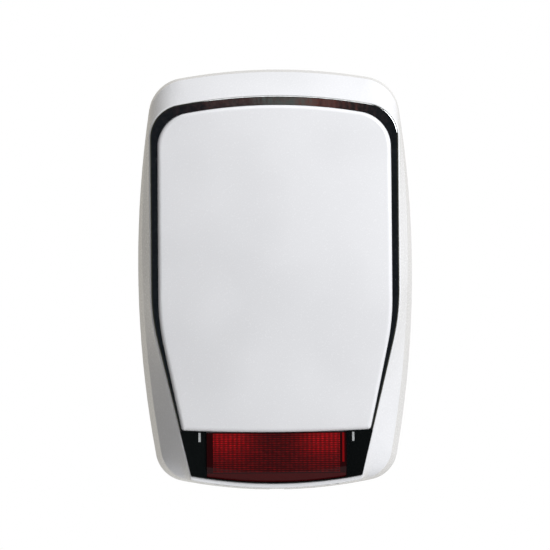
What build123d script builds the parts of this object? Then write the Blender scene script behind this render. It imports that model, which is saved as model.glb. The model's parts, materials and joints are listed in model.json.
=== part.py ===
from build123d import *

# Outdoor alarm siren (bell box). Millimetres, +Z up, the front faces -Y.
# The wall face lies in the plane Y = 0, and the origin is the centre of the wall-fixing pattern.
# "Depth" is the distance from the wall, so a plane at depth d is Plane.XZ.offset(d).

import os
from math import hypot, pi, radians, sqrt, tan

# ---------------------------------------------------------------- overall
overall_width = 195.6
overall_height = 300.0
overall_depth = 85.0
half_width = overall_width / 2
half_height = overall_height / 2

# ---------------------------------------------------------------- outline at the back of the hood
widest_z = 8.0
side_radius = 2.5 * overall_height
top_arch_radius = overall_width + 189.4
bottom_arch_radius = overall_width + 144.4
top_corner_radius = 27.0
bottom_corner_radius = 23.0

# ---------------------------------------------------------------- crease between side walls and flanks
crease_depth = 50.0
crease_side_inset = 5.4
crease_end_inset = 5.4
crease_widest_z = 20.0
crease_side_radius = side_radius + 50.0

# ---------------------------------------------------------------- front face outline
face_depth = overall_depth - 10.0
face_side_inset = 11.9
face_top_inset = 23.0
face_bottom_inset = 7.3
face_top_radius = top_arch_radius - 25.0
face_bottom_radius = bottom_arch_radius - 40.0
face_corner_radius = 24.0
face_foot_half_width = half_width - 39.0
face_foot_radius = 2.0
knee_radius = 150.0
face_half_width = half_width - face_side_inset
face_top = half_height - face_top_inset
face_bottom = -half_height + face_bottom_inset
knee_z = face_bottom + 118.0
face_edge_round = 0.5

# ---------------------------------------------------------------- hood walls
cover_back = 8.8
cover_wall = 3.0
face_wall = 2.5
recess_depth = 2.0
recess_inset = 0.8
recess_bottom = face_bottom + 2.9
recess_bottom_radius = face_bottom_radius + 15.0
recess_floor = face_depth - recess_depth
face_inside = recess_floor - face_wall
fit_gap = 0.1
seat_gap = 0.15
slots_each_side = 6
slot_pitch = 7.0
slot_depth = 42.5
slot_length = 13.0
slot_width = 3.2

# ---------------------------------------------------------------- trim band, front panel, bezel
band_top_width = 7.4
band_side_width = 5.8
band_rise = 1.8
band_outer_round = 1.1
peg_radius = 1.0
peg_length = 1.2
panel_bottom = face_bottom + 38.3
panel_bottom_radius = 1470.0
panel_foot_inset = 2.8
panel_knee_z = knee_z - 4.1
panel_corner_radius = 24.0
panel_edge_round = 3.0
panel_wall = 2.5
panel_crown_height_radius = overall_height**2 / 72
panel_crown_width_radius = 800.0
bezel_rise = 1.0
clip_width = 8.0
clip_thickness = 2.0
clip_nib = 1.0
clip_places = [(70.0, 88.0), (70.0, 12.0), (60.0, -68.0)]

# ---------------------------------------------------------------- strobe lens
lens_half_width = 47.7
lens_top = panel_bottom - 0.4
lens_bottom = recess_bottom + 1.3
lens_side_gap = 0.2
lens_wall = 2.2
lens_face_rise = 2.2
lens_band_height = 7.0
lens_band_fall = 2.4
lens_flange = 3.0
lens_ear_reach = 9.0
lens_rib_pitch = 1.5
lens_rib_depth = 0.7
lens_ribbed_half_width = 41.6
seal_thickness = 1.0
front_screw_x = lens_half_width + 5.5
pipe_x = lens_half_width + 4.9
front_screw_heights = [lens_top - 10.2, lens_top - 24.7]
pipe_z = lens_top - 2.8
pipe_width = 1.5
pipe_height = 6.2

# ---------------------------------------------------------------- fasteners
small_shank = 1.25
small_head = 2.6
small_head_height = 1.8
cross_recess_width = 0.6
cross_recess_length = 2.6
thread_gap = 0.05

# ---------------------------------------------------------------- base plate
base_inset = 1.2
base_floor = 3.0
base_rim_depth = 8.0
base_rim_wall = 2.5
base_top = half_height - 13.0
fixing_edge = 22.8
fixing_x = half_width - fixing_edge
fixing_z = 100.0
fixing_hole = 2.75
fixing_pad = 8.0
fixing_pad_depth = 6.0
side_column_x = half_width - 20.0
side_column_z = -20.0

# ---------------------------------------------------------------- hinge
hinge_depth = 13.0
hinge_z = half_height - 8.7
hinge_rod = 2.0
hinge_eye = 4.0
hinge_running_gap = 0.06
ear_thickness = 4.0
ear_x = 22.0
barrel_gap = 2.0
hinge_rod_overhang = 1.2
ear_foot_drop = 21.0
ear_foot_height = 11.0

# ---------------------------------------------------------------- cover screw
screw_depth = 15.0
screw_radius = 2.0
screw_length = 12.0
screw_head = 3.8
screw_head_height = 2.6
washer_radius = 4.6
washer_thickness = 0.8
pad_half_width = 8.0
pad_depth = 24.0
pad_top = -half_height + 8.0
pocket_top = -half_height + 5.0
pocket_radius = 5.2
notch_radius = 2.4
boss_bottom = pad_top + 0.5
boss_height = 11.0
boss_half_width = 6.0
boss_depth = 22.0
insert_radius = 3.0
insert_length = 7.0
screw_seat_gap = 0.2

# ---------------------------------------------------------------- main board
board_half_width = 62.0
board_bottom = 30.0
board_height = 84.0
board_depth = 12.0
board_thickness = 1.6
board_edge = 6.0
board_post = 3.5
board_front = board_depth + board_thickness
board_top = board_bottom + board_height

# ---------------------------------------------------------------- tamper switches
button_x = 40.0
button_z = 64.0
button_stem = 2.2
button_cap = 4.0
button_cap_height = 3.0
button_front = 34.0
button_gap = 0.3
switch_size = 12.0
switch_height = 10.0
post_radius = 4.0
plunger_radius = 3.0
plunger_collar = 5.0
plunger_housing = 8.0
plunger_length = 20.0
housing_front = 18.0
spring_wire = 0.4

# ---------------------------------------------------------------- battery
battery_width = 97.0
battery_height = 52.0
battery_thickness = 43.0
battery_bottom = -44.0
battery_back = 6.0
shelf_thickness = 3.0
cradle_wall = 2.5
cradle_depth = 30.0
cradle_gap = 0.4
strap_width = 12.0
strap_thickness = 1.2
strap_foot_depth = 40.0
strap_z = -18.0
strap_post_x = battery_width / 2 + 10.5

# ---------------------------------------------------------------- siren horn
horn_depth = 28.0
mouth_z = -half_height + 24.0
throat_z = mouth_z + 52.0
throat_size = 28.0
mouth_width = 92.0
mouth_thickness = 40.0
horn_wall = 2.0
driver_radius = 22.0
driver_height = 19.0
lug_x = 38.0
lug_z = mouth_z + 41.5
lug_half_height = 5.0
lug_back = 8.0
lug_front = 14.0

# ---------------------------------------------------------------- strobe board
strobe_depth = 56.0
strobe_half_width = 58.0
strobe_top = lens_top + 0.3
strobe_height = 27.0
strobe_post = 3.0
strobe_post_x = 54.0
strobe_post_heights = [strobe_top - 9.0, strobe_top - 23.5]


# ================================================================ helpers
def finish(piece, label):
    """Name one finished piece and write it."""
    piece.part.label = label
    export_step(piece.part, f"parts/{label}.step")


def circles_meet(centre_a, radius_a, centre_b, radius_b, side):
    """One of the two points where two circles cross; side is +1 or -1."""
    across_x = centre_b[0] - centre_a[0]
    across_z = centre_b[1] - centre_a[1]
    apart = hypot(across_x, across_z)
    along = (radius_a**2 - radius_b**2 + apart**2) / (2 * apart)
    aside = side * sqrt(radius_a**2 - along**2)
    x = centre_a[0] + (along * across_x - aside * across_z) / apart
    z = centre_a[1] + (along * across_z + aside * across_x) / apart
    return x, z


def hood_outline(depth, inset, width, bow_z, bow_radius, top, bottom):
    """Rounded outline of the hood at one depth: arched ends and bowed sides, moved in by inset."""
    x_max = width - inset
    radius = bow_radius - inset
    side_centre = (x_max - radius, bow_z)
    arch = top_arch_radius - inset
    foot_arch = bottom_arch_radius - inset
    upper = circles_meet(side_centre, radius, (0, top - inset - arch), arch, 1)
    lower = circles_meet(side_centre, radius, (0, bottom + inset + foot_arch), foot_arch, -1)
    if upper[0] < 0:
        upper = circles_meet(side_centre, radius, (0, top - inset - arch), arch, -1)
    if lower[0] < 0:
        lower = circles_meet(side_centre, radius, (0, bottom + inset + foot_arch), foot_arch, 1)

    def on_side(z, side):
        return side * (x_max - radius + sqrt(radius**2 - (z - bow_z) ** 2)), z

    with BuildLine(Plane.XZ.offset(depth)) as edge:
        ThreePointArc(on_side(upper[1], 1), (0, top - inset), on_side(upper[1], -1))
        ThreePointArc(on_side(upper[1], -1), on_side(bow_z, -1), on_side(lower[1], -1))
        ThreePointArc(on_side(lower[1], -1), (0, bottom + inset), on_side(lower[1], 1))
        ThreePointArc(on_side(lower[1], 1), on_side(bow_z, 1), on_side(upper[1], 1))
    outline = edge.wire()
    outline = outline.fillet_2d(top_corner_radius - inset, outline.vertices().sort_by(Axis.Z)[-2:])
    outline = outline.fillet_2d(bottom_corner_radius - inset, outline.vertices().sort_by(Axis.Z)[:2])
    return Face(outline)


def rear_outline(depth, inset=0.0):
    return hood_outline(depth, inset, half_width, widest_z, side_radius, half_height, -half_height)


def crease_outline(depth, inset=0.0):
    return hood_outline(
        depth,
        inset,
        half_width - crease_side_inset,
        crease_widest_z,
        crease_side_radius,
        half_height - crease_end_inset,
        -half_height + crease_end_inset,
    )


def front_outline(depth, x_max, top, knee, foot_x, bottom, bottom_radius, corner, foot_round, knee_round):
    """Outline with an arched top, straight sides down to the knee, then sides that close in to the foot."""
    shoulder_z = top - face_top_radius + sqrt(face_top_radius**2 - x_max**2)
    foot_z = bottom + bottom_radius - sqrt(bottom_radius**2 - foot_x**2)
    with BuildSketch(Plane.XZ.offset(depth)) as outline:
        with BuildLine():
            Polyline((x_max, shoulder_z), (x_max, knee), (foot_x, foot_z))
            ThreePointArc((foot_x, foot_z), (0, bottom), (-foot_x, foot_z))
            Polyline((-foot_x, foot_z), (-x_max, knee), (-x_max, shoulder_z))
            ThreePointArc((-x_max, shoulder_z), (0, top), (x_max, shoulder_z))
        make_face()
        fillet(outline.vertices().sort_by(Axis.Y)[2:4], knee_round)
        fillet(outline.vertices().sort_by(Axis.Y)[-2:], corner)
        fillet(outline.vertices().sort_by(Axis.Y)[:2], foot_round)
    return outline.sketch


def face_outline(depth, inset=0.0):
    """The front face's own outline, moved in by inset."""
    return front_outline(
        depth,
        face_half_width - inset,
        face_top - inset,
        knee_z,
        face_foot_half_width - inset,
        face_bottom + inset,
        face_bottom_radius,
        face_corner_radius - inset,
        face_foot_radius,
        knee_radius,
    )


def recess_outline(depth, gap=0.0):
    """The shallow recess that holds the band, the panel and the bezel."""
    inset = recess_inset + gap
    return front_outline(
        depth,
        face_half_width - inset,
        face_top - inset,
        knee_z,
        face_foot_half_width + taper_slope() * (recess_bottom - face_bottom) - inset,
        recess_bottom + gap,
        recess_bottom_radius,
        face_corner_radius - inset,
        face_foot_radius / 2,
        knee_radius,
    )


def taper_slope():
    """How fast the face narrows below the knee."""
    return (face_half_width - face_foot_half_width) / (knee_z - face_bottom)


def panel_outline(depth, gap=0.0):
    """The front panel's outline, with its foot just above the lens."""
    foot_x = face_half_width - taper_slope() * (knee_z - panel_bottom) - panel_foot_inset
    return front_outline(
        depth,
        face_half_width - band_side_width - gap,
        face_top - band_top_width - gap,
        panel_knee_z,
        foot_x - gap,
        panel_bottom + gap,
        panel_bottom_radius,
        panel_corner_radius - gap,
        2.5,
        knee_radius,
    )


def disc(depth, radius, places, amount, mode=Mode.ADD):
    """Round bosses, pins or holes that run along the depth, at the given front-view places."""
    with BuildSketch(Plane.XZ.offset(depth)) as rounds:
        with Locations(*places):
            Circle(radius)
    extrude(rounds.sketch, amount=amount, mode=mode)


def block(depth, place, width, height, amount, mode=Mode.ADD, corner=0.0):
    """A rectangular block that runs along the depth, centred on its front-view place."""
    with BuildSketch(Plane.XZ.offset(depth)) as rectangle:
        with Locations(place):
            if corner:
                RectangleRounded(width, height, corner)
            else:
                Rectangle(width, height)
    extrude(rectangle.sketch, amount=amount, mode=mode)


def both_sides(places):
    """The same front-view places on the right and on the left."""
    return [(side * x, z) for side in (1, -1) for x, z in places]


def pan_head_screws(depth, places, length, lead=1):
    """A group of small cross-head screws along the depth; the heads sit on depth and face lead."""
    disc(depth, small_shank, places, -lead * length)
    disc(depth, small_head, places, lead * small_head_height)
    crowns = depth + lead * small_head_height
    for place in places:
        block(crowns, place, cross_recess_length, cross_recess_width, -lead * 1.0, Mode.SUBTRACT)
        block(crowns, place, cross_recess_width, cross_recess_length, -lead * 1.0, Mode.SUBTRACT)


os.makedirs("parts", exist_ok=True)

# ================================================================ hood
panel_clips = both_sides(clip_places)
front_screws_at = both_sides([(front_screw_x, z) for z in front_screw_heights])
pipes_at = both_sides([(pipe_x, pipe_z)])
board_screws_at = both_sides([(board_half_width - board_edge, z) for z in
                              (board_bottom + board_edge, board_top - board_edge)])
strobe_screws_at = both_sides([(strobe_post_x, z) for z in strobe_post_heights])
fixings_at = both_sides([(fixing_x, fixing_z), (fixing_x, -fixing_z)])
strap_screws_at = both_sides([(strap_post_x, strap_z)])
lug_screws_at = both_sides([(lug_x, lug_z)])
band_end = panel_bottom + 1.4


def band_pegs():
    """Places of the trim band's pegs: along the middle of the band."""
    side_x = face_half_width - recess_inset - 1.9
    top_z = face_top - band_top_width / 2
    return both_sides([(side_x, 70.0), (side_x, 20.0), (40.0, top_z - 2.2)]) + [(0.0, top_z)]


def lens_outline(depth, gap=0.0):
    """The lens seen from the front: straight top and sides, and a foot that follows the recess."""
    side_x = lens_half_width + gap
    foot = lens_bottom - gap
    corner_z = foot + recess_bottom_radius - sqrt(recess_bottom_radius**2 - side_x**2)
    with BuildSketch(Plane.XZ.offset(depth)) as outline:
        with BuildLine():
            Line((-side_x, corner_z), (-side_x, lens_top + gap))
            Line((-side_x, lens_top + gap), (side_x, lens_top + gap))
            Line((side_x, lens_top + gap), (side_x, corner_z))
            ThreePointArc((side_x, corner_z), (0, foot), (-side_x, corner_z))
        make_face()
    return outline.sketch


with BuildPart() as main_cover:
    loft([rear_outline(cover_back), crease_outline(crease_depth), face_outline(face_depth)], ruled=True)
    fillet(main_cover.faces().sort_by(Axis.Y)[0].edges(), face_edge_round)
    loft(
        [
            rear_outline(cover_back - 0.01, cover_wall),
            crease_outline(crease_depth - 1.0, cover_wall),
            face_outline(face_inside, 2.0),
        ],
        ruled=True,
        mode=Mode.SUBTRACT,
    )
    extrude(recess_outline(recess_floor), amount=2 * recess_depth, mode=Mode.SUBTRACT)
    extrude(lens_outline(face_inside - 1.0, 0.3), amount=recess_depth + face_wall, mode=Mode.SUBTRACT)
    for place in panel_clips:
        clip_slot = clip_thickness + clip_nib + 1.0
        block(face_inside - 1.0, place, clip_slot, clip_width + 1.0, 2 * face_wall, Mode.SUBTRACT)
    disc(recess_floor - peg_length, peg_radius + thread_gap, band_pegs(), 2 * peg_length, Mode.SUBTRACT)
    disc(face_inside - 1.0, small_shank + thread_gap, front_screws_at, 2 * face_wall, Mode.SUBTRACT)
    for place in pipes_at:
        block(face_inside - 1.0, place, pipe_width + 0.2, pipe_height + 0.2, 2 * face_wall, Mode.SUBTRACT)
    # Post that holds the tamper button down while the cover is shut.
    disc(button_front + button_gap, post_radius, [(button_x, button_z)], face_inside + 0.5 - button_front)
    # Hinge barrels, each hung from the top wall.
    barrel_length = ear_x - ear_thickness - 2 * barrel_gap
    for side in (1, -1):
        start = side * ear_x / 2 - barrel_length / 2
        with BuildSketch(Plane.YZ.offset(start)) as barrel:
            with Locations((-hinge_depth, hinge_z)):
                Circle(hinge_eye)
            with Locations((-hinge_depth, hinge_z + hinge_eye * 0.75)):
                Rectangle(hinge_eye, hinge_eye * 1.5)
            with Locations((-hinge_depth, hinge_z)):
                Circle(hinge_rod + hinge_running_gap, mode=Mode.SUBTRACT)
        extrude(barrel.sketch, amount=barrel_length)
    # Pad, notch and head pocket for the cover screw, open to the back so that the cover swings clear.
    with BuildSketch(Plane.XY.offset(pad_top)) as screw_pad:
        with Locations((0, -(cover_back + pad_depth) / 2)):
            Rectangle(2 * pad_half_width, pad_depth - cover_back)
    extrude(screw_pad.sketch, amount=-5.0)
    screw_cuts = [(notch_radius, -half_height - 1.0, 12.0), (pocket_radius, pocket_top, -10.0)]
    for radius, floor_z, height in screw_cuts:
        with BuildSketch(Plane.XY.offset(floor_z)) as slot:
            with Locations((0, -screw_depth)):
                Circle(radius)
            with Locations((0, -screw_depth / 2)):
                Rectangle(2 * radius, screw_depth)
        extrude(slot.sketch, amount=height, mode=Mode.SUBTRACT)
    # Sound slots through the underside, below the horn's mouth.
    with BuildSketch(Plane.XY.offset(-half_height - 1.0)) as sound_slots:
        with Locations(*[(slot_pitch * n, -slot_depth) for n in range(-slots_each_side, slots_each_side + 1)]):
            SlotOverall(slot_length, slot_width, rotation=90)
    extrude(sound_slots.sketch, amount=14.0, mode=Mode.SUBTRACT)
finish(main_cover, "main_cover")


def crown(fall):
    """Barrel-shaped body whose surface is the front panel's double curve, fall mm below the crown."""
    middle_z = (face_top - band_top_width + panel_bottom) / 2
    axis_depth = overall_depth - panel_crown_height_radius
    width_radius = panel_crown_width_radius - fall
    reach = 110.0
    back = face_inside - 10.0
    front = overall_depth - fall
    edge = front - width_radius + sqrt(width_radius**2 - reach**2)
    with BuildPart() as barrel:
        with BuildSketch(Plane.XY.offset(middle_z)) as profile:
            with BuildLine():
                Polyline((reach, -edge), (reach, -back), (-reach, -back), (-reach, -edge))
                ThreePointArc((-reach, -edge), (0, -front), (reach, -edge))
            make_face()
        revolve(profile.sketch, Axis((0, -axis_depth, middle_z), (1, 0, 0)), revolution_arc=360)
    return barrel.part


def panel_hollow():
    """The space behind the front panel, one wall thickness inside its face."""
    inner_crown = crown(panel_wall)
    with BuildPart() as hollow:
        extrude(panel_outline(face_inside - 5.0, panel_wall + seat_gap), amount=overall_depth - face_inside)
        add(inner_crown, mode=Mode.INTERSECT)
    return hollow.part


def panel_clip_legs():
    """Snap clips: legs from inside the panel through the hood's front wall, each with a nib behind it."""
    middle_crown = crown(panel_wall / 2)
    with BuildPart() as legs:
        for x, z in panel_clips:
            side = 1 if x > 0 else -1
            nib_x = x - side * (clip_thickness + clip_nib) / 2
            block(face_inside - 2.0, (x, z), clip_thickness, clip_width, overall_depth - face_inside)
            block(face_inside - 2.0, (nib_x, z), clip_nib, clip_width, 2.0 - seat_gap)
        add(middle_crown, mode=Mode.INTERSECT)
    return legs.part


hollow_body = panel_hollow()
clip_legs = panel_clip_legs()
crown_body = crown(0.0)
with BuildPart() as front_panel:
    extrude(panel_outline(recess_floor, seat_gap), amount=overall_depth - recess_floor + 1.0)
    add(crown_body, mode=Mode.INTERSECT)
    crown_face = front_panel.faces().sort_by(Axis.Y)[0]
    fillet(crown_face.edges(), panel_edge_round)
    add(hollow_body, mode=Mode.SUBTRACT)
    add(clip_legs)
finish(front_panel, "front_panel")

with BuildPart() as trim_band:
    extrude(recess_outline(recess_floor, fit_gap), amount=recess_depth + band_rise)
    fillet(trim_band.faces().sort_by(Axis.Y)[0].edges(), band_outer_round)
    extrude(panel_outline(recess_floor, -fit_gap), amount=20.0, mode=Mode.SUBTRACT)
    block(recess_floor, (0, band_end - half_height), overall_width, overall_height, 20.0, Mode.SUBTRACT)
    disc(recess_floor + 0.5, peg_radius, band_pegs(), -peg_length)
finish(trim_band, "trim_band")

with BuildPart() as lower_bezel:
    extrude(recess_outline(recess_floor, fit_gap), amount=recess_depth + bezel_rise)
    fillet(lower_bezel.faces().sort_by(Axis.Y)[0].edges(), 0.5)
    extrude(panel_outline(recess_floor, -fit_gap), amount=20.0, mode=Mode.SUBTRACT)
    bezel_top = band_end - seat_gap
    block(recess_floor, (0, bezel_top + half_height), overall_width, overall_height, 20.0, Mode.SUBTRACT)
    extrude(lens_outline(recess_floor, lens_side_gap), amount=20.0, mode=Mode.SUBTRACT)
    window_width = 2 * (lens_half_width + lens_side_gap)
    block(recess_floor, (0, lens_top + 10.0), window_width, 20.0, 20.0, Mode.SUBTRACT)
    disc(recess_floor, small_shank + thread_gap, front_screws_at, 2.2, Mode.SUBTRACT)
    for place in pipes_at:
        block(recess_floor, place, pipe_width + 0.2, pipe_height + 0.2, 20.0, Mode.SUBTRACT)
finish(lower_bezel, "lower_bezel")

# ================================================================ strobe lens
lens_front = recess_floor + recess_depth + lens_face_rise
flange_front = face_inside - seal_thickness
flange_back = flange_front - lens_flange
ear_centre_z = sum(front_screw_heights) / 2
ear_height = front_screw_heights[0] - front_screw_heights[1] + 6.4
ear_width = lens_half_width + lens_ear_reach


with BuildPart() as strobe_lens:
    extrude(lens_outline(flange_back), amount=lens_front - flange_back)
    lens_edges = strobe_lens.faces().sort_by(Axis.Y)[0].edges()
    lower_edge = lens_edges.sort_by(Axis.Z)[0]
    underside = strobe_lens.faces().sort_by(Axis.Z)[0]
    chamfer(lower_edge, length=lens_band_fall, length2=lens_band_height, reference=underside)
    block(flange_back, (0, ear_centre_z), 2 * ear_width, ear_height, lens_flange)
    rib_floor = lens_front - lens_wall - lens_band_fall
    inside = lens_outline(flange_back - 1.0, -lens_wall)
    extrude(inside, amount=rib_floor - flange_back + 1.0, mode=Mode.SUBTRACT)
    # Light-spreading ribs cut into the back of the window.
    rib_count = 16
    for n in range(rib_count):
        rib_z = lens_top - lens_wall - 1.0 - lens_rib_pitch * n
        rib_width = 2 * lens_ribbed_half_width
        block(rib_floor, (0, rib_z), rib_width, lens_rib_pitch / 2, lens_rib_depth, Mode.SUBTRACT)
    disc(flange_back, small_shank + thread_gap, front_screws_at, lens_flange + 1.0, Mode.SUBTRACT)
finish(strobe_lens, "strobe_lens")

with BuildPart() as lens_seal:
    block(flange_front, (0, ear_centre_z), 2 * ear_width, ear_height, seal_thickness)
    extrude(lens_outline(flange_front, 0.3), amount=seal_thickness, mode=Mode.SUBTRACT)
    disc(flange_front, small_shank + 0.3, front_screws_at, seal_thickness, Mode.SUBTRACT)
finish(lens_seal, "lens_seal")

with BuildPart() as front_screws:
    pan_head_screws(flange_back, front_screws_at, 8.2, lead=-1)
finish(front_screws, "front_screws")

with BuildPart() as light_pipes:
    for place in pipes_at:
        block(face_inside - 9.0, place, pipe_width, pipe_height, 9.0 + face_wall + recess_depth + bezel_rise)
finish(light_pipes, "light_pipes")

# ================================================================ base plate
def on_floor(place, radius, height, hole, bottom=0.0):
    """A round boss on the base floor with a pilot hole in its top."""
    disc(base_floor - 1.0, radius, [place], height - base_floor + 1.0)
    disc(height + 0.01, hole, [place], -(height - base_floor - bottom), Mode.SUBTRACT)


side_column = [(-side_column_x, side_column_z), (side_column_x, side_column_z)]
cable_place = side_column[0]
plunger_place = side_column[1]
grommet_hole = 9.0
plunger_hole = plunger_radius + 0.4
strap_post = 4.0
lug_post = 4.0
battery_front = battery_back + battery_thickness
battery_top = battery_bottom + battery_height
screw_bite = 6.0
pilot = small_shank + thread_gap
cradle_x = battery_width / 2 + cradle_gap + cradle_wall / 2

with BuildPart() as base_plate:
    extrude(rear_outline(0.0, base_inset), amount=base_rim_depth)
    extrude(rear_outline(base_floor, base_inset + base_rim_wall), amount=base_rim_depth, mode=Mode.SUBTRACT)
    block(-1.0, (0, base_top + 50.0), 2 * overall_width, 100.0, base_rim_depth + 2.0, Mode.SUBTRACT)
    block(0.0, (0, base_top - 1.25), 2 * (half_width - 26.0), 2.5, base_rim_depth)
    for place in fixings_at:
        disc(0.0, fixing_pad, [place], fixing_pad_depth)
    disc(-1.0, fixing_hole, fixings_at, fixing_pad_depth + 2.0, Mode.SUBTRACT)
    for place in board_screws_at:
        on_floor(place, board_post, board_depth, pilot)
    for place in strobe_screws_at:
        on_floor(place, strobe_post, strobe_depth, pilot, strobe_depth - base_floor - screw_bite - 2.0)
    for place in strap_screws_at:
        on_floor(place, strap_post, strap_foot_depth, pilot, strap_foot_depth - base_floor - screw_bite - 2.0)
    for place in lug_screws_at:
        on_floor(place, lug_post, lug_back, pilot, 0.5)
    # Battery shelf, cradle walls and the ribs that the battery rests against.
    shelf_z = battery_bottom - shelf_thickness / 2 - 0.2
    block(base_floor - 1.0, (0, shelf_z), battery_width, shelf_thickness, battery_front - base_floor - 2.0)
    for side in (1, -1):
        block(base_floor - 1.0, (side * cradle_x, battery_bottom + 12.0), cradle_wall, 30.0, cradle_depth)
        block(base_floor - 1.0, (side * 30.0, battery_bottom + battery_height / 2), 2.0, 40.0,
              battery_back - cradle_gap / 2 - base_floor + 1.0)
    # Hinge ears: an eye for the rod, a leg, and a foot on the floor.
    for x in (-ear_x, 0.0, ear_x):
        with BuildSketch(Plane.YZ.offset(x - ear_thickness / 2)) as ear:
            with Locations((-hinge_depth, hinge_z)):
                Circle(hinge_eye)
            with Locations((-hinge_depth, hinge_z - ear_foot_drop / 2)):
                Rectangle(6.0, ear_foot_drop)
            with Locations((-(hinge_depth + 3.0) / 2, hinge_z - ear_foot_drop + ear_foot_height / 2)):
                Rectangle(hinge_depth + 3.0, ear_foot_height)
            with Locations((-hinge_depth, hinge_z)):
                Circle(hinge_rod + 0.02, mode=Mode.SUBTRACT)
        extrude(ear.sketch, amount=ear_thickness)
    # Boss that the cover screw bites into.
    block(base_floor - 1.0, (0, boss_bottom + boss_height / 2), 2 * boss_half_width, boss_height,
          boss_depth - base_floor + 1.0)
    with BuildSketch(Plane.XY.offset(boss_bottom)) as insert_bore:
        with Locations((0, -screw_depth)):
            Circle(insert_radius)
    extrude(insert_bore.sketch, amount=boss_height - 1.5, mode=Mode.SUBTRACT)
    disc(-1.0, grommet_hole, [cable_place], base_floor + 2.0, Mode.SUBTRACT)
    disc(-1.0, plunger_hole, [plunger_place], base_floor + 2.0, Mode.SUBTRACT)
finish(base_plate, "base_plate")

with BuildPart() as cable_grommet:
    disc(0.2, grommet_hole - fit_gap, [cable_place], base_floor - 0.2 + 2.0)
    disc(base_floor + 0.05, grommet_hole + 2.0, [cable_place], 2.0)
    disc(0.0, grommet_hole - 4.0, [cable_place], 20.0, Mode.SUBTRACT)
finish(cable_grommet, "cable_grommet")

with BuildPart() as hinge_rod_piece:
    rod_half = ear_x + ear_thickness / 2 + hinge_rod_overhang
    with BuildSketch(Plane.YZ.offset(-rod_half)) as rod_section:
        with Locations((-hinge_depth, hinge_z)):
            Circle(hinge_rod)
    extrude(rod_section.sketch, amount=2 * rod_half)
    chamfer(hinge_rod_piece.edges().filter_by(GeomType.CIRCLE), 0.4)
finish(hinge_rod_piece, "hinge_rod")

with BuildPart() as screw_insert:
    with BuildSketch(Plane.XY.offset(boss_bottom)) as insert_ring:
        with Locations((0, -screw_depth)):
            Circle(insert_radius - 0.02)
            Circle(screw_radius + thread_gap, mode=Mode.SUBTRACT)
    extrude(insert_ring.sketch, amount=insert_length)
finish(screw_insert, "screw_insert")

washer_top = pocket_top - screw_seat_gap
with BuildPart() as screw_washer:
    with BuildSketch(Plane.XY.offset(washer_top)) as washer_ring:
        with Locations((0, -screw_depth)):
            Circle(washer_radius)
            Circle(screw_radius + thread_gap, mode=Mode.SUBTRACT)
    extrude(washer_ring.sketch, amount=-washer_thickness)
finish(screw_washer, "screw_washer")

with BuildPart() as cover_screw:
    head_top = washer_top - washer_thickness - 0.05
    with BuildSketch(Plane.XY.offset(head_top)) as head:
        with Locations((0, -screw_depth)):
            Circle(screw_head)
    extrude(head.sketch, amount=-screw_head_height)
    fillet(cover_screw.edges().group_by(Axis.Z)[0], 1.0)
    with BuildSketch(Plane.XY.offset(head_top)) as shank:
        with Locations((0, -screw_depth)):
            Circle(screw_radius)
    extrude(shank.sketch, amount=screw_length)
    chamfer(cover_screw.edges().group_by(Axis.Z)[-1], 0.5)
    with BuildSketch(Plane.XY.offset(head_top - screw_head_height)) as socket:
        with Locations((0, -screw_depth)):
            RegularPolygon(1.5, 6)
            Circle(0.5, mode=Mode.SUBTRACT)
    extrude(socket.sketch, amount=1.6, mode=Mode.SUBTRACT)
finish(cover_screw, "cover_screw")

# ================================================================ main board
board_middle = board_bottom + board_height / 2
with BuildPart() as main_board:
    block(board_depth, (0, board_middle), 2 * board_half_width, board_height, board_thickness, corner=3.0)
    disc(board_depth - 1.0, small_shank + 0.2, board_screws_at, 5.0, Mode.SUBTRACT)
finish(main_board, "main_board")

with BuildPart() as board_screws:
    pan_head_screws(board_front, board_screws_at, screw_bite)
finish(board_screws, "board_screws")

terminal_count = 8
terminal_pitch = 6.0
terminal_width = terminal_count * terminal_pitch
terminal_centre = (-24.0, board_bottom + 8.0)
terminal_depth = 11.0
terminal_x = [terminal_centre[0] + terminal_pitch * (n - (terminal_count - 1) / 2) for n in range(terminal_count)]
terminals_at = [(x, terminal_centre[1] + 1.0) for x in terminal_x]
with BuildPart() as terminal_block:
    block(board_front, terminal_centre, terminal_width, 11.0, terminal_depth)
    chamfer(terminal_block.faces().sort_by(Axis.Y)[0].edges().filter_by(Axis.X), 2.0)
    disc(board_front + terminal_depth + 0.1, 2.1, terminals_at, -3.0, Mode.SUBTRACT)
    for x in terminal_x:
        block(board_front + 1.5, (x, terminal_centre[1] - 5.5), 3.6, 6.0, 4.0, Mode.SUBTRACT)
finish(terminal_block, "terminal_block")

with BuildPart() as terminal_screws:
    disc(board_front + terminal_depth - 2.85, 2.0, terminals_at, 1.6)
    for place in terminals_at:
        block(board_front + terminal_depth - 1.25, place, 4.4, 0.6, -0.7, Mode.SUBTRACT)
finish(terminal_screws, "terminal_screws")

large_capacitors = [(-48.0, 92.0), (-31.0, 92.0)]
small_capacitors = [(-48.0, 72.0), (-37.0, 72.0), (-26.0, 72.0)]
with BuildPart() as capacitors:
    disc(board_front + 0.05, 6.3, large_capacitors, 20.0)
    disc(board_front + 0.05, 4.0, small_capacitors, 11.0)
    for place in large_capacitors:
        block(board_front + 20.05, place, 9.0, 0.5, -0.4, Mode.SUBTRACT)
        block(board_front + 20.05, place, 0.5, 9.0, -0.4, Mode.SUBTRACT)
finish(capacitors, "capacitors")

coil_place = (4.0, 92.0)
with BuildPart() as step_up_coil:
    block(board_front + 0.05, coil_place, 20.0, 18.0, 4.0)
    block(board_front + 4.0, coil_place, 20.0, 6.0, 12.0)
    disc(board_front + 4.0, 7.5, [coil_place], 10.0)
    block(board_front + 14.0, coil_place, 18.0, 16.0, 2.0)
finish(step_up_coil, "step_up_coil")

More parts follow.
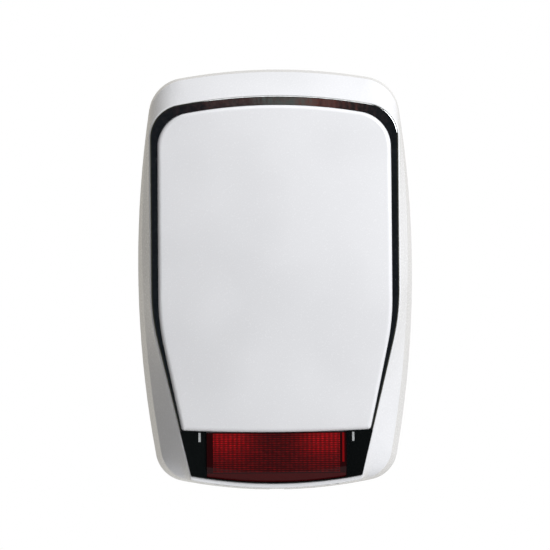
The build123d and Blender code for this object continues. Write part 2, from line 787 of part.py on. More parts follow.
transistor_places = [(24.0, 100.0), (38.0, 100.0)]
with BuildPart() as transistors:
    for x, z in transistor_places:
        block(board_front + 3.0, (x, z), 10.0, 4.4, 9.0)
        block(board_front + 11.0, (x, z + 1.5), 10.0, 1.3, 6.5)
        for pin in (-2.5, 0.0, 2.5):
            block(board_front + 0.05, (x + pin, z), 0.8, 0.6, 4.0)
finish(transistors, "transistors")

chip_place = (4.0, 66.0)
chip_pins = 9
with BuildPart() as microcontroller:
    block(board_front + 1.0, chip_place, 23.0, 6.6, 3.4)
    for n in range(chip_pins):
        pin_x = chip_place[0] + 2.54 * (n - (chip_pins - 1) / 2)
        for side in (1, -1):
            block(board_front + 0.05, (pin_x, chip_place[1] + side * 3.5), 0.6, 0.6, 2.6)
    with BuildSketch(Plane.XZ.offset(board_front + 4.4)) as notch:
        with Locations((chip_place[0] - 11.5, chip_place[1])):
            Circle(1.2)
    extrude(notch.sketch, amount=-0.5, mode=Mode.SUBTRACT)
finish(microcontroller, "microcontroller")

fuse_place = (24.0, 44.0)
fuse_length = 20.0
fuse_radius = 2.6
with BuildPart() as fuse_holder:
    block(board_front + 0.05, fuse_place, 26.0, 9.0, 2.5)
    for side in (1, -1):
        block(board_front + 2.0, (fuse_place[0] + side * 9.0, fuse_place[1]), 4.0, 7.6, 6.0)
    with BuildSketch(Plane.YZ.offset(-200.0)) as fuse_bed:
        with Locations((-(board_front + 6.5), fuse_place[1])):
            Circle(fuse_radius + thread_gap)
        with Locations((-(board_front + 9.5), fuse_place[1])):
            Rectangle(6.0, 2 * fuse_radius - 1.0)
    extrude(fuse_bed.sketch, amount=400.0, mode=Mode.SUBTRACT)
finish(fuse_holder, "fuse_holder")

with BuildPart() as fuse:
    with BuildSketch(Plane.YZ.offset(fuse_place[0] - fuse_length / 2)) as fuse_section:
        with Locations((-(board_front + 6.5), fuse_place[1])):
            Circle(fuse_radius)
    extrude(fuse_section.sketch, amount=fuse_length)
finish(fuse, "fuse")

battery_socket = (50.0, 42.0)
siren_socket = (-52.0, 52.0)
strobe_socket = (52.0, 84.0)
socket_places = [battery_socket, siren_socket, strobe_socket]
with BuildPart() as lead_sockets:
    for place in socket_places:
        block(board_front + 0.05, place, 8.0, 6.0, 7.0)
        block(board_front + 7.1, place, 6.6, 4.6, -1.0, Mode.SUBTRACT)
finish(lead_sockets, "lead_sockets")

# ================================================================ tamper switches
cap_back = button_front - button_cap_height
switch_front = board_front + switch_height
with BuildPart() as cover_tamper_switch:
    block(board_front + 0.05, (button_x, button_z), switch_size, switch_size, switch_height)
    disc(board_front + 1.5, button_stem + 0.1, [(button_x, button_z)], switch_height, Mode.SUBTRACT)
finish(cover_tamper_switch, "cover_tamper_switch")

with BuildPart() as cover_tamper_button:
    disc(board_front + 3.5, button_stem, [(button_x, button_z)], cap_back - board_front - 3.5 + 0.5)
    disc(cap_back, button_cap, [(button_x, button_z)], button_cap_height)
    fillet(cover_tamper_button.faces().sort_by(Axis.Y)[0].edges(), 0.8)
finish(cover_tamper_button, "cover_tamper_button")


def coil_spring(place, back, front, radius, turns):
    """A coil spring along the depth between two seats."""
    with BuildPart() as spring:
        start = back + spring_wire
        height = front - back - 2 * spring_wire
        with BuildLine() as axis_line:
            Helix(height / turns, height, radius, center=(place[0], -start, place[1]), direction=(0, -1, 0))
        coil = axis_line.wire()
        with BuildSketch(Plane(origin=coil @ 0, z_dir=coil % 0)) as wire_section:
            Circle(spring_wire)
        sweep(wire_section.sketch, path=coil, is_frenet=True)
    return spring


cover_tamper_spring = coil_spring((button_x, button_z), switch_front + 0.1, cap_back - 0.1, 3.1, 3)
finish(cover_tamper_spring, "cover_tamper_spring")

collar_back = 8.0
collar_thickness = 2.0
with BuildPart() as wall_tamper_plunger:
    disc(0.0, plunger_radius, [plunger_place], plunger_length)
    disc(collar_back, plunger_collar, [plunger_place], collar_thickness)
finish(wall_tamper_plunger, "wall_tamper_plunger")

with BuildPart() as wall_tamper_switch:
    disc(base_floor + 0.05, plunger_housing, [plunger_place], housing_front - base_floor)
    disc(base_floor, plunger_collar + 0.5, [plunger_place], housing_front - base_floor - 2.0, Mode.SUBTRACT)
    disc(base_floor, plunger_radius + 0.1, [plunger_place], housing_front, Mode.SUBTRACT)
finish(wall_tamper_switch, "wall_tamper_switch")

wall_tamper_spring = coil_spring(
    plunger_place, collar_back + collar_thickness + 0.1, housing_front - 2.1, plunger_radius + 0.9, 3)
finish(wall_tamper_spring, "wall_tamper_spring")

# ================================================================ battery
with BuildPart() as battery:
    battery_middle = battery_bottom + battery_height / 2
    block(battery_back, (0, battery_middle), battery_width, battery_height, battery_thickness)
    fillet(battery.edges().filter_by(Axis.Z), 1.5)
    block(battery_back + 3.0, (0, battery_top - 4.0), battery_width - 1.0, 10.0, battery_thickness - 6.0)
finish(battery, "battery")

terminal_tab_x = 36.0
tab_top = battery_top + 8.0
with BuildPart() as battery_terminals:
    for side in (1, -1):
        with BuildSketch(Plane.XY.offset(battery_top + 1.05)) as tab:
            with Locations((side * terminal_tab_x, -(battery_back + battery_thickness / 2))):
                Rectangle(0.8, 4.8)
        extrude(tab.sketch, amount=tab_top - battery_top - 1.05)
finish(battery_terminals, "battery_terminals")

strap_front = battery_front + 0.3 + strap_thickness
strap_leg_x = battery_width / 2 + 0.4 + strap_thickness / 2
strap_reach = strap_post_x + 4.5
with BuildPart() as battery_strap:
    block(strap_front, (0, strap_z), 2 * strap_leg_x + strap_thickness, strap_width, -strap_thickness)
    for side in (1, -1):
        block(strap_foot_depth, (side * strap_leg_x, strap_z), strap_thickness, strap_width,
              strap_front - strap_foot_depth)
        foot_x = (strap_leg_x - strap_thickness / 2 + strap_reach) / 2
        foot_length = strap_reach - strap_leg_x + strap_thickness / 2
        block(strap_foot_depth, (side * foot_x, strap_z), foot_length, strap_width, strap_thickness)
    disc(strap_foot_depth - 1.0, small_shank + 0.2, strap_screws_at, 4.0, Mode.SUBTRACT)
finish(battery_strap, "battery_strap")

with BuildPart() as strap_screws:
    pan_head_screws(strap_foot_depth + strap_thickness, strap_screws_at, screw_bite)
finish(strap_screws, "strap_screws")

# ================================================================ siren
def horn_section(height, width, thickness, corner):
    with BuildSketch(Plane.XY.offset(height)) as section:
        with Locations((0, -horn_depth)):
            RectangleRounded(width, thickness, corner)
    return section.sketch


with BuildPart() as siren_horn:
    loft([
        horn_section(throat_z, throat_size, throat_size, throat_size / 2 - 0.2),
        horn_section(mouth_z, mouth_width, mouth_thickness, 8.0),
    ])
    block(lug_back, (0, lug_z), 2 * (lug_x + 5.0), 2 * lug_half_height, lug_front - lug_back)
    loft([
        horn_section(throat_z + 0.5, throat_size - 2 * horn_wall, throat_size - 2 * horn_wall,
                     throat_size / 2 - horn_wall - 0.2),
        horn_section(mouth_z - 0.5, mouth_width - 2 * horn_wall, mouth_thickness - 2 * horn_wall, 6.0),
    ], mode=Mode.SUBTRACT)
    disc(lug_back - 1.0, small_shank + 0.2, lug_screws_at, 10.0, Mode.SUBTRACT)
finish(siren_horn, "siren_horn")

with BuildPart() as horn_screws:
    pan_head_screws(lug_front, lug_screws_at, 9.0)
finish(horn_screws, "horn_screws")


def upright(height, radius, length, mode=Mode.ADD):
    """A round body on the siren's upright axis."""
    with BuildSketch(Plane.XY.offset(height)) as ring:
        with Locations((0, -horn_depth)):
            Circle(radius)
    extrude(ring.sketch, amount=length, mode=mode)


with BuildPart() as siren_driver:
    upright(throat_z + 0.1, driver_radius, driver_height)
    fillet(siren_driver.edges().group_by(Axis.Z)[-1], 2.5)
    upright(throat_z, 9.0, 6.0, Mode.SUBTRACT)
finish(siren_driver, "siren_driver")

with BuildPart() as driver_cap:
    upright(throat_z + driver_height + 0.15, 15.0, 2.5)
    fillet(driver_cap.edges().group_by(Axis.Z)[-1], 1.0)
finish(driver_cap, "driver_cap")

# ================================================================ strobe
strobe_middle = strobe_top - strobe_height / 2
strobe_front = strobe_depth + board_thickness
with BuildPart() as strobe_board:
    block(strobe_depth, (0, strobe_middle), 2 * strobe_half_width, strobe_height, board_thickness, corner=2.0)
    disc(strobe_depth - 1.0, small_shank + 0.2, strobe_screws_at, 5.0, Mode.SUBTRACT)
finish(strobe_board, "strobe_board")

with BuildPart() as strobe_screws:
    pan_head_screws(strobe_front, strobe_screws_at, screw_bite)
finish(strobe_screws, "strobe_screws")

led_count = 6
led_pitch = 13.0
leds_at = [(led_pitch * (n - (led_count - 1) / 2), strobe_middle - 1.0) for n in range(led_count)]
with BuildPart() as strobe_leds:
    for place in leds_at:
        block(strobe_front + 0.05, place, 5.0, 5.0, 1.5)
    disc(strobe_front + 1.5, 1.9, leds_at, 0.7)
finish(strobe_leds, "strobe_leds")

with BuildPart() as status_leds:
    for place in pipes_at:
        block(strobe_front + 0.05, place, 3.0, 3.0, 2.0)
finish(status_leds, "status_leds")

reflector_height = 18.0
with BuildPart() as strobe_reflector:
    block(strobe_front + 0.1, (0, strobe_middle - 1.0), 2 * 42.0, reflector_height, 6.0)
    for place in leds_at:
        with BuildSketch(Plane.XZ.offset(strobe_front + 0.1)) as well:
            with Locations(place):
                Rectangle(6.4, 6.4)
        with BuildSketch(Plane.XZ.offset(strobe_front + 6.11)) as well_mouth:
            with Locations(place):
                Rectangle(11.8, 15.0)
        loft([well.sketch, well_mouth.sketch], mode=Mode.SUBTRACT)
finish(strobe_reflector, "strobe_reflector")


# ================================================================ leads
def lead(points, radius):
    """A round lead along straight runs joined by arcs as large as the runs allow."""
    corners = [Vector(point) for point in points]
    bends = []
    for before, corner, after in zip(corners, corners[1:], corners[2:]):
        turn = radians((corner - before).get_angle(after - corner))
        bends.append(0.45 * min((corner - before).length, (after - corner).length) / tan(turn / 2))
    with BuildPart() as piece:
        with BuildLine() as route:
            FilletPolyline(*points, radius=bends)
        with BuildSketch(Plane(origin=route.line @ 0, z_dir=route.line % 0)) as section:
            Circle(radius)
        sweep(section.sketch, path=route.wire())
    length = route.wire().length
    print(f"lead {length:.1f} mm, smallest bend {min(bends):.1f} mm,",
          f"volume ratio {piece.part.volume / (pi * radius**2 * length):.3f}")
    return piece


battery_lead_red = lead(
    [(36.0, -27.5, 16.2), (37.5, -28.0, 24.0), (44.0, -30.5, 33.5), (51.5, -30.5, 40.5),
     (52.0, -19.85, 42.2)], 0.9)
finish(battery_lead_red, "battery_lead_red")

battery_lead_black = lead(
    [(-36.0, -27.5, 16.2), (-35.0, -30.0, 24.5), (-16.0, -36.0, 27.5), (8.0, -39.0, 26.5),
     (30.0, -39.5, 30.0), (44.0, -37.0, 37.5), (48.0, -29.0, 42.0), (48.0, -19.85, 42.2)], 0.9)
finish(battery_lead_black, "battery_lead_black")

siren_lead = lead(
    [(-22.6, -28.0, throat_z + 12.0), (-34.0, -26.0, throat_z + 12.5), (-53.0, -15.0, throat_z + 19.0),
     (-65.0, -9.5, -36.0), (-65.5, -9.0, -8.0), (-65.0, -10.0, 20.0), (-66.5, -16.0, 38.0),
     (-60.0, -28.0, 49.0), (-52.5, -30.0, 52.0), (-52.0, -19.85, 52.2)], 1.1)
finish(siren_lead, "siren_lead")

strobe_lead = lead(
    [(50.0, -strobe_depth + 0.2, strobe_top - 3.5), (50.5, -strobe_depth + 10.0, strobe_top - 2.5),
     (56.0, -30.0, strobe_top + 6.5), (64.0, -15.0, strobe_top + 20.5), (66.2, -9.5, -62.0),
     (66.5, -9.5, -30.0), (66.3, -10.0, 10.0), (66.5, -12.0, 48.0), (66.0, -19.0, 72.0),
     (60.0, -28.0, 82.5), (52.5, -30.0, 84.0), (52.0, -19.85, 84.2)], 1.1)
finish(strobe_lead, "strobe_lead")
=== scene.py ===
import json
from math import pi, radians

import bmesh
import bpy
from bpy.props import FloatProperty, FloatVectorProperty, PointerProperty, StringProperty
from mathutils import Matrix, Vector


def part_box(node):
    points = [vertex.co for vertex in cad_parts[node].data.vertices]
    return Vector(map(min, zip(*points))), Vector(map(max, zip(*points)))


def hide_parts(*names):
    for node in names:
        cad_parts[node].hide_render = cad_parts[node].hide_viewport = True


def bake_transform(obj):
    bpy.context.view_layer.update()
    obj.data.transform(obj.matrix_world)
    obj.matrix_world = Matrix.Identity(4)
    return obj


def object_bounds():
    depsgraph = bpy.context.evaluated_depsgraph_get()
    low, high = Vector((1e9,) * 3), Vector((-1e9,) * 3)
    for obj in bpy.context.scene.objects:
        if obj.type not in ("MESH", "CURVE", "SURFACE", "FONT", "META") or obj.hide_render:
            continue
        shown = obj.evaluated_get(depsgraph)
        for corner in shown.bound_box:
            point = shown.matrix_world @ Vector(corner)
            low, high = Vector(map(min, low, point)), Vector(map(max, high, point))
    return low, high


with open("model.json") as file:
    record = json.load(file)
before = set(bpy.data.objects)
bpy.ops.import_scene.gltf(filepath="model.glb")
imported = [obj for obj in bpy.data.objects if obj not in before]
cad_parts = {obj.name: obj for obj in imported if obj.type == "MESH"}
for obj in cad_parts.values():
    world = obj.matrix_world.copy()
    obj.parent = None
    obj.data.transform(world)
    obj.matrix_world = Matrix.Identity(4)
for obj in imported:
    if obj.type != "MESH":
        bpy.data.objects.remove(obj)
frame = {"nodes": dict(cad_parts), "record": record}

bl_info = {
    "name": "Alarm Siren Maker",
    "version": (1, 0, 0),
    "blender": (4, 5, 0),
    "location": "View3D > Sidebar > Siren",
    "description": "Finishes the alarm siren's pieces and lays out its studio",
    "category": "Object",
}

MM = 0.001
cad_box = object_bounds()
nodes = frame["nodes"]
lens_low, lens_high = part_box("strobe_lens")

# The window, as it looks from the front
RIB_PITCH = 1.5 * MM
REED_PITCH = 3.0 * MM
RIBBED_HALF_WIDTH = 43.4 * MM
PLAIN_FOOT = 6.6 * MM
# Painted light in the window's colour: the height of the painted glow along its foot, and the place and size
# of the painted glint on the moulding's edge.
GLOWING_FOOT = 6.0 * MM
EDGE_GLINT_PLACE = 45.7 * MM
EDGE_GLINT_HALF_WIDTH = 0.7 * MM
EDGE_GLINT_LENGTH = 20.0 * MM
FUSE_GLASS_HALF_LENGTH = 5.5 * MM

# The studio, in metres and watts
MIDDLE = (0.0, 0.0, 0.0)
KEY_LIGHT_PLACE = (1.25, -1.3, 0.85)
KEY_LIGHT_SIZE, KEY_LIGHT_POWER = 1.0, 31.0
TOP_LIGHT_PLACE = (0.1, -0.75, 1.5)
TOP_LIGHT_SIZE, TOP_LIGHT_POWER = 0.7, 6.0
SOFT_LIGHT_WAY = (0.82, 0.0, 0.57)
CLUTTER_WAY = (0.0, -0.996, 0.085)
SENSOR_WIDTH = 36.0
CAMERA_SIDESTEP = -0.0001
CAMERA_REACH = 50.0
FLOOR_SEGMENTS = 96


# ------------------------------------------------------------------ colour and node helpers
def linear(hex_colour):
    """An sRGB hex colour as linear RGBA."""
    parts = [int(hex_colour[i:i + 2], 16) / 255 for i in (1, 3, 5)]
    return tuple(c / 12.92 if c <= 0.04045 else ((c + 0.055) / 1.055) ** 2.4 for c in parts) + (1.0,)


def add_node(tree, kind, settings=None, values=None, links=None):
    """Adds one node with its settings, its socket values and its incoming links."""
    node = tree.nodes.new(kind)
    for name, value in (settings or {}).items():
        setattr(node, name, value)
    for name, value in (values or {}).items():
        node.inputs[name].default_value = value
    for name, source in (links or {}).items():
        tree.links.new(source, node.inputs[name])
    return node


def maths(tree, operation, *terms):
    """One maths node; each term is a number or the socket that it comes from."""
    node = add_node(tree, "ShaderNodeMath", {"operation": operation})
    for place, term in enumerate(terms):
        if isinstance(term, (int, float)):
            node.inputs[place].default_value = term
        else:
            tree.links.new(term, node.inputs[place])
    return node.outputs[0]


def soft_step(tree, value, start, end, low, high):
    """A value that eases from low to high as another goes from start to end."""
    return add_node(tree, "ShaderNodeMapRange", {"interpolation_type": "SMOOTHSTEP"},
                    {"From Min": start, "From Max": end, "To Min": low, "To Max": high},
                    {"Value": value}).outputs["Result"]


def stripes(tree, place, axis, pitch):
    """Even soft stripes across an axis; a wave texture of scale 1 turns 20 radians in each metre."""
    return add_node(tree, "ShaderNodeTexWave", {"wave_type": "BANDS", "bands_direction": axis},
                    {"Scale": 2 * pi / (20 * pitch), "Distortion": 0.0}, {"Vector": place}).outputs["Fac"]


def new_finish(name):
    """An empty material with its shader and output: (material, tree, shader, object coordinates)."""
    material = bpy.data.materials.new(name)
    material.use_nodes = True
    tree = material.node_tree
    tree.nodes.clear()
    shader = add_node(tree, "ShaderNodeBsdfPrincipled")
    add_node(tree, "ShaderNodeOutputMaterial", links={"Surface": shader.outputs["BSDF"]})
    place = add_node(tree, "ShaderNodeTexCoord").outputs["Object"]
    return material, tree, shader, place


def mottle(tree, place, grain_mm, detail=3.0, stretch=(1.0, 1.0, 1.0)):
    """Fine uneven value at a real grain size, stretched along chosen axes."""
    spot = add_node(tree, "ShaderNodeMapping", values={"Scale": stretch}, links={"Vector": place})
    return add_node(tree, "ShaderNodeTexNoise", values={"Scale": 1000.0 / grain_mm, "Detail": detail},
                    links={"Vector": spot.outputs["Vector"]}).outputs["Fac"]


def colour_between(tree, fac, stops):
    """Colours blended along a ramp; stops are (position, hex colour)."""
    ramp = add_node(tree, "ShaderNodeValToRGB", links={"Fac": fac})
    points = ramp.color_ramp.elements
    while len(points) < len(stops):
        points.new(0.5)
    for point, (position, colour) in zip(points, stops):
        point.position = position
        point.color = linear(colour)
    return ramp.outputs["Color"]


def roughness_between(tree, fac, low, high):
    """A roughness that wanders between two values."""
    return add_node(tree, "ShaderNodeMapRange", values={"From Min": 0.3, "From Max": 0.7, "To Min": low,
                    "To Max": high}, links={"Value": fac}).outputs["Result"]


def relief(tree, height, depth_mm, strength=1.0):
    """Surface relief of a real depth."""
    return add_node(tree, "ShaderNodeBump", values={"Distance": depth_mm * MM, "Strength": strength},
                    links={"Height": height}).outputs["Normal"]


def join_up(tree, shader, colour, roughness, normal=None):
    """Feeds a shader its colour, its roughness and, where there is one, its relief."""
    tree.links.new(colour, shader.inputs["Base Color"])
    tree.links.new(roughness, shader.inputs["Roughness"])
    if normal is not None:
        tree.links.new(normal, shader.inputs["Normal"])


# ------------------------------------------------------------------ finishes
def moulded_gloss_abs(name, colour, shade, roughness=0.24, coat=0.0):
    """Gloss ABS from a polished mould: even colour, a soft sheen and faint long sink waves."""
    material, tree, shader, place = new_finish(name)
    waves = mottle(tree, place, 60.0, detail=1.0)
    pores = mottle(tree, place, 0.9, detail=2.0)
    shader.inputs["IOR"].default_value = 1.53
    shader.inputs["Coat Weight"].default_value = coat
    shader.inputs["Coat Roughness"].default_value = 0.06
    join_up(tree, shader, colour_between(tree, waves, [(0.35, shade), (0.6, colour)]),
            roughness_between(tree, pores, roughness - 0.03, roughness + 0.05),
            relief(tree, waves, 0.2, 0.2))
    return material


def textured_abs(name, colour, shade, grain_mm=0.8, roughness=0.55):
    """Satin ABS from a spark-eroded mould: a fine pebbled grain that kills reflections."""
    material, tree, shader, place = new_finish(name)
    grain = mottle(tree, place, grain_mm, detail=2.0)
    cloud = mottle(tree, place, 30.0, detail=1.0)
    shader.inputs["IOR"].default_value = 1.53
    join_up(tree, shader, colour_between(tree, cloud, [(0.35, shade), (0.65, colour)]),
            roughness_between(tree, grain, roughness - 0.08, roughness + 0.08),
            relief(tree, grain, 0.03, 0.6))
    return material


def bright_chrome_plating(name):
    """Bright chrome on ABS: mirror-like, with the slow ripple that plated plastic always has."""
    material, tree, shader, place = new_finish(name)
    ripple = mottle(tree, place, 9.0, detail=2.0, stretch=(1.0, 1.0, 0.45))
    haze = mottle(tree, place, 2.5, detail=3.0)
    shader.inputs["Metallic"].default_value = 1.0
    join_up(tree, shader, colour_between(tree, haze, [(0.3, "#a9acae"), (0.7, "#c9cbcc")]),
            roughness_between(tree, haze, 0.045, 0.09),
            relief(tree, ripple, 0.12, 0.35))
    return material


def ribbed_red_polycarbonate(name):
    """Clear red polycarbonate, smooth in front and ribbed behind: wine-dark red with painted glow and painted
    highlights on the ribs.
    """
    material, tree, shader, place = new_finish(name)
    split = add_node(tree, "ShaderNodeSeparateXYZ", links={"Vector": place})
    across, up = split.outputs["X"], split.outputs["Z"]
    side = maths(tree, "ABSOLUTE", across)
    bars = stripes(tree, place, "Z", RIB_PITCH)
    reeds = stripes(tree, place, "X", REED_PITCH)
    # Only the middle of the window is ribbed: both side margins and the foot are plain.
    inside = maths(tree, "LESS_THAN", side, RIBBED_HALF_WIDTH)
    above = maths(tree, "GREATER_THAN", up, lens_low.z + PLAIN_FOOT)
    ribbed = maths(tree, "MULTIPLY", inside, above)
    # Painted glow: two soft fields high up, one in each half of the window, painted into the colour as the
    # light of the lamps behind.
    painted_glow_field = soft_step(tree, side, 4 * MM, 30 * MM, 0.04, 0.36)
    high = soft_step(tree, up, lens_low.z + 6 * MM, lens_high.z - 4 * MM, 0.15, 1.0)
    lit = maths(tree, "MULTIPLY", painted_glow_field, high)
    # Painted highlights: mottled glints along each rib join the painted glow, and both are woven with the
    # reeds and kept to the ribbed middle.
    glints = mottle(tree, place, 2.2, detail=4.0, stretch=(0.6, 1.0, 1.0))
    lines = maths(tree, "MULTIPLY", bars, glints)
    amount = maths(tree, "MULTIPLY_ADD", lines, 0.62, lit)
    woven = maths(tree, "MULTIPLY_ADD", reeds, 0.35, 0.68)
    shown = maths(tree, "MULTIPLY", maths(tree, "MULTIPLY", amount, woven), ribbed)
    # Painted light: a faint painted glow on the plain foot, and a painted glint high on the right where the
    # moulding's edge meets the light.
    foot = maths(tree, "LESS_THAN", up, lens_low.z + GLOWING_FOOT)
    painted_glint_column = maths(tree, "COMPARE", across, EDGE_GLINT_PLACE, EDGE_GLINT_HALF_WIDTH)
    painted_glint_top = maths(tree, "GREATER_THAN", up, lens_high.z - EDGE_GLINT_LENGTH)
    painted_edge_glint = maths(tree, "MULTIPLY", painted_glint_column, painted_glint_top)
    glow = maths(tree, "MULTIPLY_ADD", painted_edge_glint, 0.5, maths(tree, "MULTIPLY_ADD", foot, 0.2, shown))
    cells = maths(tree, "MULTIPLY_ADD", reeds, 0.25, bars)
    raised = maths(tree, "MULTIPLY", cells, ribbed)
    shader.inputs["IOR"].default_value = 1.58
    shader.inputs["Roughness"].default_value = 0.35
    shader.inputs["Specular IOR Level"].default_value = 0.1
    shader.inputs["Coat Weight"].default_value = 0.08
    shader.inputs["Coat Roughness"].default_value = 0.04
    # The colour runs from the lens's own wine-dark red up to bright red along with the painted glow, the
    # painted foot glow and the painted glints.
    depth = colour_between(tree, glow, [(0.0, "#260204"), (0.2, "#420306"), (0.5, "#7e050a"),
                                        (0.8, "#cf1018")])
    tree.links.new(depth, shader.inputs["Base Color"])
    tree.links.new(relief(tree, raised, 0.25, 0.7), shader.inputs["Normal"])
    return material


def drawn_metal(name, colour, shade, roughness=0.32, lines_mm=0.25, stretch=(1.0, 1.0, 0.08)):
    """Plated or drawn metal: fine working lines that smear the highlights."""
    material, tree, shader, place = new_finish(name)
    lines = mottle(tree, place, lines_mm, detail=2.0, stretch=stretch)
    tarnish = mottle(tree, place, 3.5, detail=3.0)
    shader.inputs["Metallic"].default_value = 1.0
    join_up(tree, shader, colour_between(tree, tarnish, [(0.3, shade), (0.7, colour)]),
            roughness_between(tree, lines, roughness - 0.08, roughness + 0.1),
            relief(tree, lines, 0.01, 0.5))
    return material


def moulded_rubber(name, colour, shade):
    """Soft black rubber: a dry bloom over a fine matt skin."""
    material, tree, shader, place = new_finish(name)
    bloom = mottle(tree, place, 4.0, detail=4.0)
    shader.inputs["Sheen Weight"].default_value = 0.15
    join_up(tree, shader, colour_between(tree, bloom, [(0.35, colour), (0.75, shade)]),
            roughness_between(tree, bloom, 0.62, 0.8),
            relief(tree, bloom, 0.03, 0.5))
    return material


def clear_acrylic(name):
    """Clear acrylic light pipe with a ground end: a soft greyish white."""
    material, tree, shader, place = new_finish(name)
    frost = mottle(tree, place, 0.5, detail=2.0)
    shader.inputs["IOR"].default_value = 1.49
    shader.inputs["Transmission Weight"].default_value = 0.25
    join_up(tree, shader, colour_between(tree, frost, [(0.3, "#b4b8ba"), (0.7, "#d6d9da")]),
            roughness_between(tree, frost, 0.15, 0.3))
    return material


def solder_masked_board(name):
    """Glass-epoxy board: glossy green mask over fine copper tracks and a faint glass weave."""
    material, tree, shader, place = new_finish(name)
    tracks = add_node(tree, "ShaderNodeTexBrick", {"offset": 0.37, "squash": 1.0},
                      {"Scale": 1000.0 / 9.0, "Mortar Size": 0.06, "Brick Width": 1.9, "Row Height": 0.32,
                       "Color1": linear("#0b4a22"), "Color2": linear("#0d5327"), "Mortar": linear("#2f8446")})
    flat = add_node(tree, "ShaderNodeMapping", values={"Rotation": (radians(90), 0.0, 0.0)},
                    links={"Vector": place})
    tree.links.new(flat.outputs["Vector"], tracks.inputs["Vector"])
    weave = mottle(tree, place, 1.2, detail=1.0)
    shader.inputs["IOR"].default_value = 1.5
    join_up(tree, shader, tracks.outputs["Color"], roughness_between(tree, weave, 0.22, 0.34),
            relief(tree, tracks.outputs["Fac"], 0.04, 0.5))
    return material


def glass_tube(name):
    """Fuse glass with end caps: clear in the middle, nickel at both ends."""
    material, tree, shader, place = new_finish(name)
    low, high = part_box("fuse")
    split = add_node(tree, "ShaderNodeSeparateXYZ", links={"Vector": place})
    away = maths(tree, "SUBTRACT", split.outputs["X"], (low.x + high.x) / 2)
    cap = maths(tree, "GREATER_THAN", maths(tree, "ABSOLUTE", away), FUSE_GLASS_HALF_LENGTH)
    shader.inputs["IOR"].default_value = 1.5
    shader.inputs["Roughness"].default_value = 0.12
    tree.links.new(cap, shader.inputs["Metallic"])
    glass_or_cap = colour_between(tree, cap, [(0.0, "#c9d2d0"), (1.0, "#c4c2bb")])
    tree.links.new(glass_or_cap, shader.inputs["Base Color"])
    return material


def make_finishes(colours):
    """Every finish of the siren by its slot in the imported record."""
    return {
        "white_abs": moulded_gloss_abs("Gloss white ABS", colours.hood_hex, "#e6e7ea"),
        "white_abs_base": textured_abs("Satin white ABS", "#d9dadb", "#cfd0d1"),
        "chrome_plate": bright_chrome_plating("Bright chrome plating on ABS"),
        "black_gloss_abs": moulded_gloss_abs("Polished black ABS", "#0c0f0f", "#080a0a", roughness=0.14,
                                             coat=0.3),
        "red_polycarbonate": ribbed_red_polycarbonate("Ribbed red polycarbonate"),
        "black_rubber": moulded_rubber("Moulded black rubber", "#141414", "#262626"),
        "zinc_screw": drawn_metal("Zinc plated steel", "#c2c1ba", "#a3a29c", roughness=0.3),
        "clear_acrylic": clear_acrylic("Clear acrylic with ground ends"),
        "steel_rod": drawn_metal("Drawn stainless steel", "#bdbdbb", "#9c9c9a", roughness=0.26,
                                 stretch=(0.06, 1.0, 1.0)),
        "brass": drawn_metal("Turned brass", "#c79a4b", "#a87a35", roughness=0.28),
        "circuit_board": solder_masked_board("Glass-epoxy board with green mask"),
        "terminal_plastic": textured_abs("Green nylon", "#1f6b3c", "#195a32", grain_mm=1.2, roughness=0.42),
        "capacitor_can": moulded_gloss_abs("Black shrink sleeve", "#15161c", "#101116", roughness=0.3),
        "ferrite": textured_abs("Pressed ferrite", "#2b2a2b", "#201f20", grain_mm=0.6, roughness=0.6),
        "black_component": textured_abs("Moulded black epoxy", "#191919", "#121212",
                                        grain_mm=0.5, roughness=0.5),
        "tinned_metal": drawn_metal("Tinned brass sheet", "#cfcec8", "#b3b2ac", roughness=0.34),
        "fuse_glass": glass_tube("Glass fuse tube"),
        "socket_plastic": textured_abs("Natural nylon", "#e4ddc9", "#d8d0ba", grain_mm=1.0, roughness=0.45),
        "button_plastic": textured_abs("Grey acetal", "#8b8c8a", "#7c7d7b", grain_mm=0.9, roughness=0.38),
        "battery_case": textured_abs("Dark grey battery ABS", "#33363b", "#292c30",
                                     grain_mm=1.4, roughness=0.5),
        "black_horn_plastic": textured_abs("Black horn ABS", "#1a1a1b", "#131314",
                                           grain_mm=1.0, roughness=0.45),
        "black_driver_can": textured_abs("Black stoved enamel", "#1d1e20", "#141516",
                                         grain_mm=2.0, roughness=0.35),
        "led_package": moulded_gloss_abs("White lamp package", "#e9e2b4", "#ddd6a6", roughness=0.2),
        "reflector_plastic": drawn_metal("Metallised reflector", "#dcdddd", "#c6c7c8",
                                         roughness=0.14, lines_mm=3.0, stretch=(1.0, 1.0, 1.0)),
        "red_insulation": moulded_gloss_abs("Red PVC insulation", "#b3161b", "#9c1015", roughness=0.36),
        "black_insulation": moulded_gloss_abs("Black PVC insulation", "#1b1b1c", "#121213", roughness=0.38),
        "grey_insulation": moulded_gloss_abs("Grey PVC sheath", "#8d9093", "#7f8286", roughness=0.4),
    }


finishes = {}
slot_of = {row["node"]: row["material_slot"] for row in frame["record"]["subparts"]}


def dress(*names):
    """Gives each named CAD node the finish of its slot."""
    for name in names:
        for place in nodes[name].material_slots:
            place.material = finishes[slot_of[name]]


def flexing_spring(name):
    """A welded, smooth-shaded copy of a coil spring that takes the place of its CAD node."""
    shape = bmesh.new()
    shape.from_mesh(nodes[name].data)
    shape.transform(nodes[name].matrix_world)
    bmesh.ops.remove_doubles(shape, verts=shape.verts, dist=0.001 * MM)
    mesh = bpy.data.meshes.new(name + "_coil")
    shape.to_mesh(mesh)
    shape.free()
    mesh.materials.append(finishes[slot_of[name]])
    for face in mesh.polygons:
        face.use_smooth = True
    piece = bpy.data.objects.new(name + "_coil", mesh)
    bpy.context.collection.objects.link(piece)
    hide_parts(name)
    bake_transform(piece)


